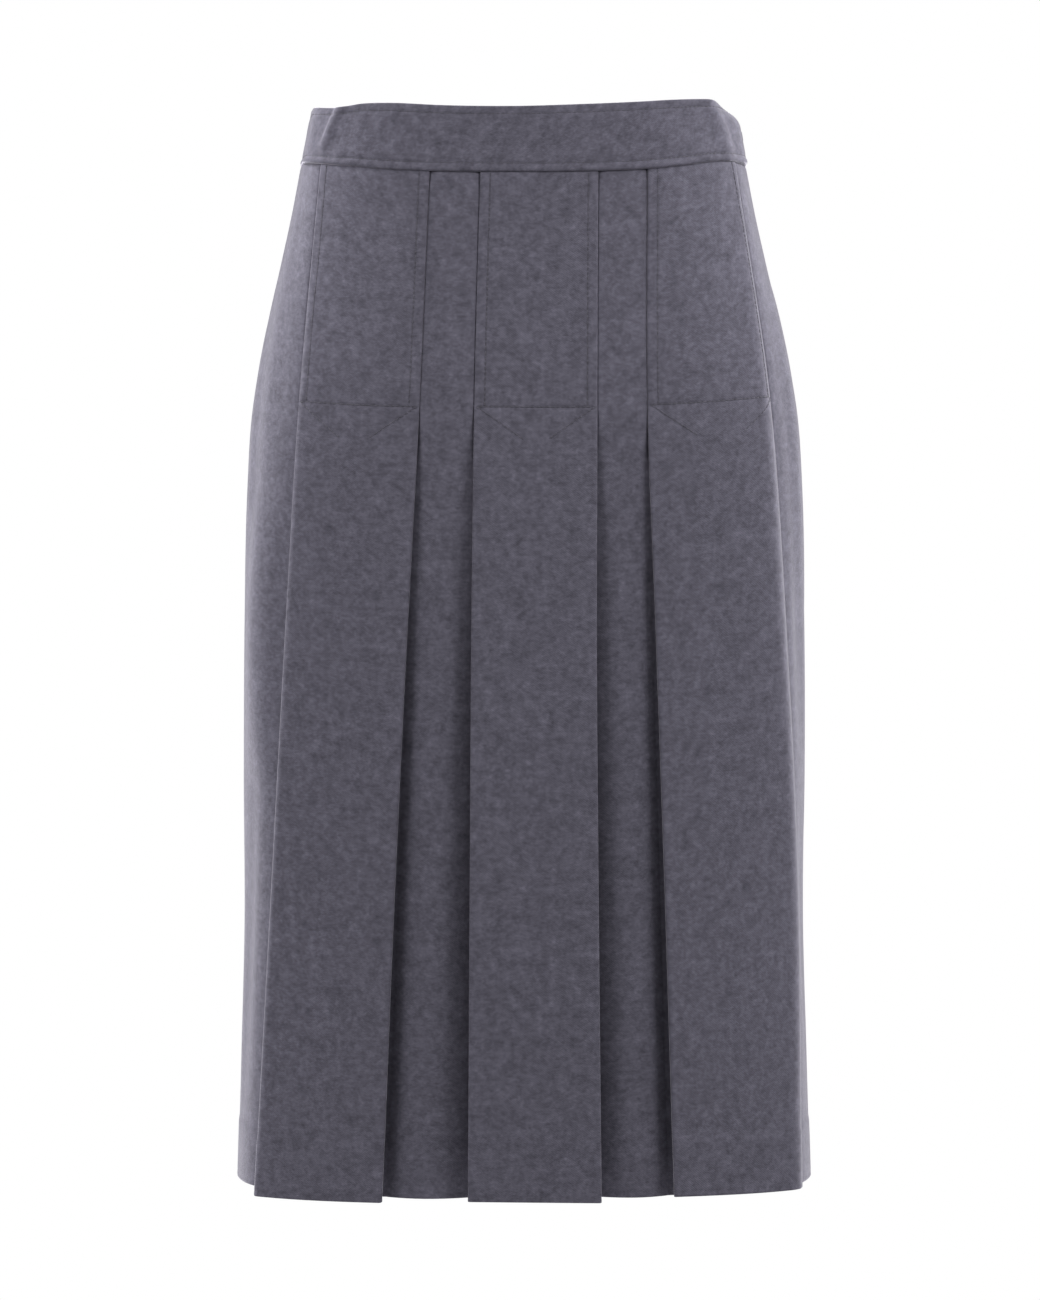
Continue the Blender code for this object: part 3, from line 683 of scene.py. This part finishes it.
def back_row(at):
    curve = ground(BODY, at, BACK)
    reach = curve.reach - SIDE_GAP / 2 - RIM
    dart, seam = DART_PLACE + BY_DART / reach, 1 - BY_SIDE_SEAM / reach
    half = np.concatenate([np.linspace(0, dart[0], 25)[:-1], dart,
                           np.linspace(dart[-1], seam[-1], 36)[1:-1], seam[::-1]])
    share = np.concatenate([-half[::-1], half[1:]])
    walk = share * reach
    lift = np.zeros_like(walk)
    for place, half_width, depth, starts in zip(*BACK_FLARES.values()):
        off = np.minimum(np.abs(walk - place * MM) / (half_width * MM), 1.0)
        lift += depth * MM * (1 - off ** 2) ** 2 * ease((at - starts) / (1 - starts))
    lift += creased(BACK_CREASES, walk, at, LENGTH)
    lift -= seam_tuck(walk, reach) + waist_tuck(at, share) - hem_step(at)
    beside = (np.abs(share) - DART_PLACE) * reach
    lift += groove(beside, *DART_SEAM) * (1 - ease((at - DART_FOOT + DART_FADES) / DART_FADES))
    high, down, across = DART_SWELL
    lift += high * math.exp(-(((at - DART_FOOT) / down) ** 2)) * np.exp(-((beside / across) ** 2))
    x, y, across = curve.point(walk, lift)
    return np.stack([x, y, cloth_z(across, at, BACK)], axis=1)


BAND_LEVELS = spaced([
    (1.1, 3.9, 0.7), (3.9, 6.5, 0.45), (6.5, 33.9, 1.75), (33.9, 36.1, 0.45), (36.1, 38.9, 0.7),
])[::-1] * MM / BAND_HEIGHT  # from the top down
# how high, how deep and wide: rows of stitching, and the ridge between them and the seam
BAND_STITCHES = ((5.2 * MM, 0.55 * MM, 0.95 * MM), (35.0 * MM, 0.4 * MM, 0.8 * MM))
BAND_RIDGE = (2.2 * MM, -0.4 * MM, 1.3 * MM)
BAND_FACING = (3 * MM, 15 * MM)  # up to where its inner side lies against the skirt, stands off
PUCKERS = ((2.7 * MM, 0), (4.3 * MM, 1.3))  # how long, and their starts
PUCKER_HEIGHT = (0.05 * MM, 4.5 * MM, 4 * MM)  # how deep, how high up and how wide
BY_ZIP = 1 - np.array([4.8, 3.6, 2.6, 1.8, 1.1]) / 200
BAND_SHARES = np.concatenate([np.linspace(-1, BY_ZIP[0], 220)[:-1], BY_ZIP])


def band_half(facing):
    """Shares of the reach along one half of the waistband, and its reach at the seam."""
    share = BAND_SHARES[::-1] if facing == FRONT else BAND_SHARES[1:]
    return share, ground(BAND, 0, facing).reach - BAND_OPENING / 2


def band_lift(walk, facing):
    if facing == BACK:
        return np.full_like(walk, BAND_LIFT_SIDE)
    step_start, step_length = BAND_STEP
    share = ease((np.abs(walk) - step_start) / step_length)
    return blend(BAND_LIFT_PLEATS, BAND_LIFT_SIDE, share)


def stands_off():
    """How far the waistband stands off along its columns, beyond its sides."""
    halves = []
    for facing in (FRONT, BACK):
        share, seam_reach = band_half(facing)
        halves.append(band_lift(share * seam_reach, facing) - BAND_LIFT_SIDE)
    return np.concatenate(halves)


def band_row(level):
    """Places of the waistband at one share of its height, from the zip round to the zip."""
    halves = []
    for facing, creases in ((FRONT, BAND_FRONT_CREASES), (BACK, BAND_BACK_CREASES)):
        share, seam_reach = band_half(facing)
        from_end = (1 - share) * seam_reach
        cut = np.maximum(BAND_CORNER - from_end, 0)
        drop = BAND_CORNER - np.sqrt(BAND_CORNER ** 2 - cut ** 2)
        up = level * (1 - drop / BAND_HEIGHT)
        places = np.zeros((len(share), 3))
        for level_here in np.unique(up):
            mask = up == level_here
            high = level_here * BAND_HEIGHT
            curve = ground(BAND, level_here, facing)
            end = np.where(share > 0, curve.reach - BAND_OPENING / 2, curve.reach)
            beside_zip = ease((ROLL_FADES - from_end) / (ROLL_FADES - ROLL_FULL))
            over = max(level_here - ROLL_STARTS, 0) / (1 - ROLL_STARTS)
            walk = share * end
            lift = band_lift(share * seam_reach, facing) - ROLL_IN * beside_zip * over ** 2
            lift = lift + creased(creases, walk, level_here, BAND_HEIGHT)
            tucks_up, tucks_in = BAND_EDGE_TUCK
            lift = lift - tucks_in * math.exp(-(high / tucks_up) ** 2)
            pucker = sum(np.sin(walk / long + starts) for long, starts in PUCKERS)
            deep, middle, wide = PUCKER_HEIGHT
            lift = lift + deep * pucker * math.exp(-(((high - middle) / wide) ** 2))
            x, y, across = curve.point(walk, lift)
            fall = ROLL_FALL * beside_zip * over ** 2
            height = BAND_HEIGHT + waist("taller", across, facing)
            z = seam_z(across, facing) + SEAM_GAP / 2 + level_here * height - fall
            places[mask] = np.stack([x, y, z], axis=1)[mask]
        halves.append(places)
    return np.concatenate(halves)


TAPE_ROWS = (16, 40)  # above the step behind the band, and below it
TAPE_CLOTH, TAPE_RIM = 0.84 * TAPE_THICKNESS, 0.2 * MM


def tape_row(z, facing):
    if z > SEAM_Z:
        curve = ground(BAND, (z - SEAM_Z) / BAND_HEIGHT, facing)
    else:
        curve = ground(BODY, (SEAM_Z - z) / LENGTH, facing)
    behind_cloth = -(WALL + TAPE_THICKNESS) / 2 - SEAM_GAP
    behind_band = BAND_LIFT_SIDE - (BAND_WALL + TAPE_THICKNESS) / 2 - SEAM_GAP
    low, high = TAPE_STEP
    lift = blend(behind_cloth, behind_band, ease((z - SEAM_Z + low) / (low - high)))
    walk = curve.reach - TAPE_SLIT / 2 - TAPE_WIDTH * np.linspace(0, 1, 13)
    x, y, _ = curve.point(walk, lift)
    return np.stack([x, y, np.full_like(x, z)], axis=1)


# -------- materials

def nodes_of(name):
    made = bpy.data.materials.new(name)
    made.use_nodes = True
    tree = made.node_tree
    return made, tree, tree.nodes["Principled BSDF"]


def add_node(tree, kind, inputs=(), **settings):
    node = tree.nodes.new("ShaderNode" + kind)
    for key, value in settings.items():
        setattr(node, key, value)
    for key, value in inputs:
        if isinstance(value, bpy.types.NodeSocket):
            tree.links.new(value, node.inputs[key])
        else:
            node.inputs[key].default_value = value
    return node


def set_inputs(shader, *inputs):
    for key, value in inputs:
        shader.inputs[key].default_value = value


def object_place(tree):
    return add_node(tree, "TexCoord").outputs["Object"]


def cloth_place(tree):
    return add_node(tree, "Attribute", attribute_name="cloth").outputs["Vector"]


def noise(tree, vector, scale, detail=2.0, roughness=0.5):
    return add_node(tree, "TexNoise", [
        ("Vector", vector), ("Scale", scale), ("Detail", detail), ("Roughness", roughness),
    ]).outputs["Fac"]


def stretched(tree, vector, scale, turn=0.0):
    return add_node(tree, "Mapping", [
        ("Vector", vector), ("Scale", scale), ("Rotation", (0, 0, turn)),
    ]).outputs[0]


def ribs(tree, vector, scale, degrees, *inputs):
    """The slanting ribs of a weave."""
    slanted = stretched(tree, vector, (1, 1, 1), math.radians(degrees))
    inputs = [("Vector", slanted), ("Scale", scale), *inputs]
    return add_node(tree, "TexWave", inputs).outputs["Fac"]


def math_node(tree, operation, first, second):
    return add_node(tree, "Math", [(0, first), (1, second)], operation=operation).outputs[0]


def mixed(tree, *parts):
    """The sum of parts by their weights."""
    total = None
    for part, weight in parts:
        weighted = math_node(tree, "MULTIPLY", part, weight)
        total = math_node(tree, "ADD", total, weighted) if total else weighted
    return total


def colour_by(tree, shader, factor, *stops):
    """Colours a shader by a factor, through stops of a place and a colour."""
    ramp = add_node(tree, "ValToRGB", [("Fac", factor)])
    elements = ramp.color_ramp.elements
    while len(elements) < len(stops):
        elements.new(0.5)
    for element, (place, colour) in zip(elements, stops):
        element.position = place
        element.color = (*colour, 1)
    tree.links.new(ramp.outputs["Color"], shader.inputs["Base Color"])


def bump_by(tree, shader, height, strength, distance):
    bump = add_node(tree, "Bump", [
        ("Height", height), ("Strength", strength), ("Distance", distance),
    ])
    tree.links.new(bump.outputs["Normal"], shader.inputs["Normal"])


def flannel(name, colour):
    """Milled wool cloth: mixed light and dark fibres over a faint twill."""
    made, tree, shader = nodes_of(name)
    cloth = cloth_place(tree)
    clouds = noise(tree, cloth, 62, 3, 0.6)
    patches = noise(tree, stretched(tree, cloth, (1, 0.8, 1)), 150)
    mottle = noise(tree, stretched(tree, cloth, (0.72, 1, 1)), 330, 3, 0.6)
    fibres = noise(tree, stretched(tree, cloth, (0.6, 1, 1)), 950, 3, 0.65)
    strands = noise(tree, stretched(tree, cloth, (0.3, 1, 1), 0.2), 1500, 2, 0.6)
    twill = ribs(tree, cloth, 285, 52, ("Distortion", 1.6), ("Detail", 2), ("Detail Scale", 2.4))
    total = mixed(tree, (clouds, 0.45), (patches, 0.60), (mottle, 0.85), (fibres, 0.55),
                  (strands, 0.35), (twill, 0.14))
    shade = add_node(tree, "MapRange", [
        ("Value", total), ("From Min", 0.82), ("From Max", 2.02),
    ]).outputs["Result"]
    tones = ((0.0, 0.25), (0.3, 0.70), (0.5, 0.97), (0.7, 1.30), (1.0, 2.0))
    colour_by(tree, shader, shade, *(
        (place, [part * share for part in colour]) for place, share in tones))
    nap = mixed(tree, (fibres, 0.7), (strands, 0.5), (twill, 0.25), (mottle, 0.6))
    bump_by(tree, shader, nap, 0.55, 0.35 * MM)
    set_inputs(shader, ("Roughness", 0.95), ("Specular IOR Level", 0.12), ("Sheen Weight", 1),
               ("Sheen Roughness", 0.3), ("Sheen Tint", (0.93, 0.90, 1.0, 1)))
    return made


def grained(name, scale, dark, light, *inputs):
    """A plain material with a fine grain."""
    made, tree, shader = nodes_of(name)
    grain = noise(tree, object_place(tree), scale)
    colour_by(tree, shader, grain, (0, dark), (1, light))
    set_inputs(shader, *inputs)
    return made


def tape_material():
    made, tree, shader = nodes_of("zip_tape_weave")
    cloth = cloth_place(tree)
    weave = ribs(tree, cloth, 560, 45, ("Distortion", 0.6), ("Detail", 1))
    woven = mixed(tree, (weave, 0.6), (noise(tree, cloth, 1400), 0.5))
    colour_by(tree, shader, woven, (0, (0.030, 0.029, 0.036)), (1, (0.078, 0.075, 0.090)))
    bump_by(tree, shader, woven, 0.6, 0.2 * MM)
    set_inputs(shader, ("Roughness", 0.8))
    return made


def metal_material():
    made, tree, shader = nodes_of("lacquered_zinc")
    place = object_place(tree)
    fine = noise(tree, place, 900, 3)
    colour_by(tree, shader, fine, (0, (0.070, 0.068, 0.080)), (1, (0.130, 0.127, 0.140)))
    rough = add_node(tree, "MapRange", [("Value", fine), ("To Min", 0.26), ("To Max", 0.44)])
    tree.links.new(rough.outputs["Result"], shader.inputs["Roughness"])
    bump_by(tree, shader, noise(tree, place, 2200), 0.15, 0.05 * MM)
    set_inputs(shader, ("Metallic", 0.9))
    return made


# -------- sewing

def tubes(paths, directions, radius, sides=6, thin_ends=0.55):
    """Places and faces of round tubes along short paths, thinner at their ends."""
    places, faces = [], []
    turn = 2 * math.pi * np.arange(sides)[:, None] / sides
    first = 0
    for path, up in zip(paths, directions):
        along = np.gradient(path, axis=0)
        along /= np.linalg.norm(along, axis=1, keepdims=True)
        side = np.cross(along, up)
        side /= np.linalg.norm(side, axis=1, keepdims=True)
        top = np.cross(side, along)
        swell = np.array([thin_ends] + [1.0] * (len(path) - 2) + [thin_ends]) * radius
        for i, middle in enumerate(path):
            places.append(middle + swell[i] * (np.cos(turn) * side[i] + np.sin(turn) * top[i]))
        last = first + (len(path) - 1) * sides
        for a in range(first, last, sides):
            b = a + sides
            faces += [[a + k, a + (k + 1) % sides, b + (k + 1) % sides, b + k]
                      for k in range(sides)]
        faces.append(list(range(first, first + sides))[::-1])
        faces.append(list(range(last, last + sides)))
        first = last + sides
    return np.concatenate(places), faces


class Sewing:
    """Gathers stitches along lines on the cloth."""

    def __init__(self):
        self.paths, self.ups = [], []

    def line(self, places, out):
        run = run_along(places)
        for start in np.arange(0.4 * MM, run[-1] - STITCH_LENGTH, STITCH_PITCH):
            start = start + RNG.normal(0, STITCH_STRAYS)
            at = start + STITCH_LENGTH * STITCH_PLACES
            up = pick(at, run, out)
            self.paths.append(pick(at, run, places) + up * STITCH_RISES[:, None])
            self.ups.append(up)

    def make(self, name, material):
        places, faces = tubes(self.paths, self.ups, THREAD)
        finish_mesh(name, places, faces, material)


def sew_panels(sewing, front, faces):
    """Edge stitching down each panel's folds, across its release and from its corners."""
    release_row = index_at(RELEASE, CLOTH_ROWS)
    yoke_rows = np.linspace(1.5, release_row, 160)
    share = np.linspace(0, 1, 40)
    corner_across, corner_down = CORNER_STITCHES
    corner_rows = index_at(RELEASE + share * corner_down / LENGTH, CLOTH_ROWS)
    run = front.run[int(release_row)]
    for start in faces:
        end = start + FACE_COLUMNS - 1
        for column in (start + STITCH_COLUMN, end - STITCH_COLUMN):
            sewing.line(*front.at(yoke_rows, column, CLOTH / 2))
        sewing.line(*front.at(release_row, np.linspace(start + 2, end - 2, 140), CLOTH / 2))
        for edge, towards in ((start + 1, 1), (end - 1, -1)):
            columns = index_at(run[edge] + towards * share * corner_across, run)
            sewing.line(*front.at(corner_rows, columns, CLOTH / 2))


def make_skirt(wool, sewing):
    rows = [FrontRow(at) for at in CLOTH_ROWS]
    front = Grid([row.places() for row in rows], CLOTH_ROWS * LENGTH)
    back = Grid([back_row(at)[::-1] for at in CLOTH_ROWS], CLOTH_ROWS * LENGTH)
    from_hem = LENGTH * (1 - CLOTH_ROWS)[:, None]
    step, step_height = HEM_TURN_STEP
    inner = CLOTH / 2 + step * ease((HEM_TURN - from_hem) / step_height + 0.5)
    press_height, *press = HEM_PRESS
    outer = CLOTH / 2 + groove(from_hem - press_height, *press)
    front_outer = outer + np.array([row.pressed() for row in rows])
    made = []
    for name, grid, outside in (("skirt_front", front, front_outer), ("skirt_back", back, outer)):
        piece = shell(name + "_cloth", grid, outside, inner, wool)
        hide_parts(name)
        made.append(piece)
    sew_panels(sewing, front, rows[0].faces)
    return made


def make_band(wool, sewing):
    band = Grid([band_row(level) for level in BAND_LEVELS], (1 - BAND_LEVELS) * BAND_HEIGHT)
    band.out = -band.out  # its columns run from the zip along the front, then along the back
    high = BAND_LEVELS * BAND_HEIGHT
    sunk = sum(groove(high - height, deep, wide) for height, deep, wide in
               (BAND_RIDGE, *BAND_STITCHES))
    # the facing inside reaches the skirt's cloth where the band stands off it, over the pleats
    full, none = BAND_FACING
    facing = BAND_CLOTH / 2 + ease((none - high) / (none - full))[:, None] * stands_off()
    piece = shell("waistband_cloth", band, BAND_CLOTH / 2 + sunk[:, None], facing, wool,
                  rounding=BAND_RIM, rings=4)
    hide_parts("waistband")
    for height, _, _ in BAND_STITCHES:
        row = index_at(-height, -high)
        lift = BAND_CLOTH / 2 + np.interp(row, np.arange(len(high)), sunk)
        columns = np.linspace(4, band.run.shape[1] - 5, 1600)
        sewing.line(*band.at(row, columns, lift))
    return piece


COIL_STARTS, COIL_ENDS = 10.5 * MM, 2 * MM  # from the tapes' ends, under the slider
COIL_PITCH, COIL_RADIUS = 0.72 * MM, 0.32 * MM
TOOTH_ACROSS = np.array([-0.6, 0.4, 1.3, 2.1, 2.5]) * MM
TOOTH_INWARD = np.array([1.05, 1.2, 1.1, 0.95, 0.7]) * MM


def make_zip(tape, coil):
    foot, step_z = SEAM_Z - ZIP_FOOT * LENGTH, SEAM_Z - TAPE_STEP[0]
    heights = np.concatenate([np.linspace(ZIP_TOP_Z, step_z, TAPE_ROWS[0]),
                              np.linspace(step_z, foot, TAPE_ROWS[1])[1:]])
    tapes, edges = [], []
    for facing, name in ((FRONT, "zip_tape_front"), (BACK, "zip_tape_back")):
        rows = np.array([tape_row(z, facing) for z in heights])
        edges.append(rows[:, 0])
        grid = Grid(rows[:, ::-1] if facing == FRONT else rows, ZIP_TOP_Z - heights)
        piece = shell(name + "_cloth", grid, TAPE_CLOTH / 2, TAPE_CLOTH / 2, tape,
                      rounding=TAPE_RIM, rings=2)
        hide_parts(name)
        tapes.append(piece)
    # the coil behind the tapes, one tooth from each side in turn
    middle = sum(edges) / 2
    run = run_along(middle)
    paths = []
    for i, at in enumerate(np.arange(COIL_STARTS, run[-1] - COIL_ENDS, COIL_PITCH)):
        x, y, z = pick(at, run, middle)
        side = 1 if i % 2 else -1
        paths.append(np.stack([x - TOOTH_INWARD, y + TOOTH_ACROSS * side,
                               np.full_like(TOOTH_INWARD, z)], axis=1))
    places, faces = tubes(paths, [(0, 0, 1.0)] * len(paths), COIL_RADIUS, sides=7)
    finish_mesh("zip_coil", places, faces, coil)
    return tapes


def carry_over(metal):
    """The slider and its pull keep their solids, with softer edges."""
    for name in ("zip_slider", "zip_pull"):
        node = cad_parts[name]
        node.data.materials.clear()
        node.data.materials.append(metal)
        soften = node.modifiers.new("soft_edges", "BEVEL")
        soften.width = 0.18 * MM
        soften.segments = 2
        soften.limit_method = "ANGLE"
        soften.angle_limit = math.radians(40)


# -------- studio

AMBIENT = 0.27
LIGHTS = (  # place, target, power, width and height
    ("left_key", (-1.0, -1.0, 0.45), (0, -0.1, -0.2), 8.6, 0.6, 0.6),
    ("right_key", (1.0, -1.0, 0.45), (0, -0.1, -0.2), 9.2, 0.6, 0.6),
    ("left_high", (-0.8, 0.2, 0.6), (-0.17, 0, -0.2), 9, 0.4, 0.4),
    ("right_high", (1.1, 0.1, 0.5), (0.17, 0, -0.25), 14, 0.5, 0.5),
    ("left_fill", (-1.9, 0.35, -0.2), (-0.17, 0, -0.4), 8, 0.6, 1.0),
    ("left_rim", (-1.5, 1.1, 0.2), (-0.1, 0, -0.3), 30, 0.5, 1.6),
    ("right_rim", (1.5, 1.1, 0.2), (0.1, 0, -0.3), 30, 0.5, 1.6),
)
FLOOR_Z, FLOOR_RADIUS, FLOOR_SIDES = -1.5, 1.3, 96


def area_light(name, place, target, power, width, height):
    light = bpy.data.lights.new(name, "AREA")
    light.energy = power
    light.shape = "RECTANGLE"
    light.size, light.size_y = width, height
    item = add_object(name, light)
    item.location = place
    item.rotation_euler = (Vector(target) - item.location).to_track_quat("-Z", "Y").to_euler()


def studio():
    """White where the camera sees past the skirt, dimmer as light on it."""
    scene = bpy.context.scene
    world = bpy.data.worlds.new("studio")
    world.use_nodes = True
    tree = world.node_tree
    seen = tree.nodes["Background"]
    set_inputs(seen, ("Color", (1, 1, 1, 1)), ("Strength", 1))
    lit = add_node(tree, "Background", [("Color", (1, 1, 1, 1)), ("Strength", AMBIENT)])
    ray = add_node(tree, "LightPath")
    mix = add_node(tree, "MixShader", [
        (0, ray.outputs["Is Camera Ray"]), (1, lit.outputs[0]), (2, seen.outputs[0]),
    ])
    tree.links.new(mix.outputs[0], tree.nodes["World Output"].inputs["Surface"])
    scene.world = world
    scene.view_settings.view_transform = "Standard"
    for light in LIGHTS:
        area_light(*light)

    mesh = bpy.data.meshes.new("floor")
    turn = np.linspace(0, 2 * math.pi, FLOOR_SIDES, endpoint=False)
    ring = [(FLOOR_RADIUS * math.cos(t), FLOOR_RADIUS * math.sin(t), FLOOR_Z) for t in turn]
    mesh.from_pydata(ring, [], [list(range(FLOOR_SIDES))])
    pale, _, shader = nodes_of("pale_floor")
    set_inputs(shader, ("Base Color", (0.80, 0.80, 0.80, 1)), ("Roughness", 0.9))
    mesh.materials.append(pale)
    add_object("floor", mesh)


PHOTO_WIDTH, MIDDLE_IN_PHOTO = 1040, 523.3  # pixels: its width, the skirt's middle
PIXEL = 0.6375 * MM  # at the skirt's front
FRONT_Y, CAMERA_DISTANCE, CAMERA_Z = -0.145, 2.8, -0.343
CAMERA_TURN = math.radians(-3)
SENSOR = 36


def camera():
    """Level with the middle of the skirt, 3 degrees round from straight ahead."""
    reach = CAMERA_DISTANCE - FRONT_Y
    data = bpy.data.cameras.new("camera")
    data.sensor_fit = "HORIZONTAL"
    data.sensor_width = SENSOR
    data.lens = SENSOR * CAMERA_DISTANCE / (PHOTO_WIDTH * PIXEL)
    item = add_object("camera", data)
    aside = (MIDDLE_IN_PHOTO - PHOTO_WIDTH / 2) * PIXEL * reach / CAMERA_DISTANCE
    item.location = (reach * math.sin(CAMERA_TURN) - aside * math.cos(CAMERA_TURN),
                     -reach * math.cos(CAMERA_TURN) - aside * math.sin(CAMERA_TURN), CAMERA_Z)
    item.rotation_euler = (math.pi / 2, 0, CAMERA_TURN)
    bpy.context.scene.camera = item


wool = flannel("grey_flannel_cloth", (0.1125, 0.107, 0.138))
sewing = Sewing()
front_cloth, back_cloth = make_skirt(wool, sewing)
band_cloth = make_band(wool, sewing)
sewing.make("stitching", grained(
    "sewing_thread", 2600, (0.050, 0.047, 0.060), (0.105, 0.098, 0.124),
    ("Roughness", 0.7), ("Sheen Weight", 0.2)))
tapes = make_zip(tape_material(), grained(
    "zip_coil_nylon", 700, (0.040, 0.039, 0.047), (0.070, 0.068, 0.080), ("Roughness", 0.42)))
carry_over(metal_material())
studio()
camera()
